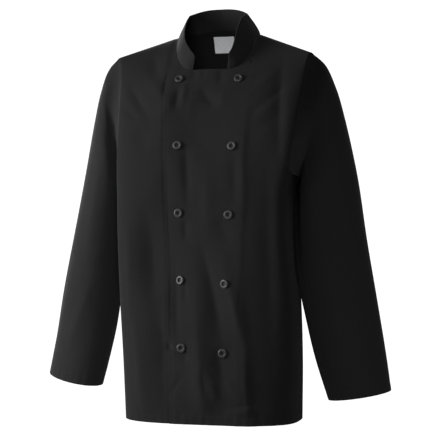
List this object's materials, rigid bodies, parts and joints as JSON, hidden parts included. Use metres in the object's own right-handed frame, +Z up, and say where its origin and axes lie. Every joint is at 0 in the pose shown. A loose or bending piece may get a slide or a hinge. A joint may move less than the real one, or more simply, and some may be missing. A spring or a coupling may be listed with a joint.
{
  "type": "chef jacket",
  "caption": "Black double-breasted chef jacket with a stand collar, long sleeves and two columns of rimmed buttons, filled out with no wearer.",
  "frame": {"origin": "between the two neck points of the shoulder seams in height and width, and between the shoulder tips in depth, where the wearer's shoulders carry the jacket", "axes": "+Z up towards the collar, -Y towards the front, +X towards the wearer's left"},
  "size_m": [0.672, 0.2376, 0.79],
  "materials": {
    "cloth": "matt twill",
    "button": "satin",
    "label": "satin weave"
  },
  "bodies": {
    "root": {"front_left": "cloth", "front_right": "cloth", "back": "cloth", "sleeve_left": "cloth", "sleeve_right": "cloth", "collar": "cloth", "button_1_left": "button", "button_1_right": "button", "button_2_left": "button", "button_2_right": "button", "button_3_left": "button", "button_3_right": "button", "button_4_left": "button", "button_4_right": "button", "button_5_left": "button", "button_5_right": "button", "neck_label": "label"}
  },
  "joints": []
}
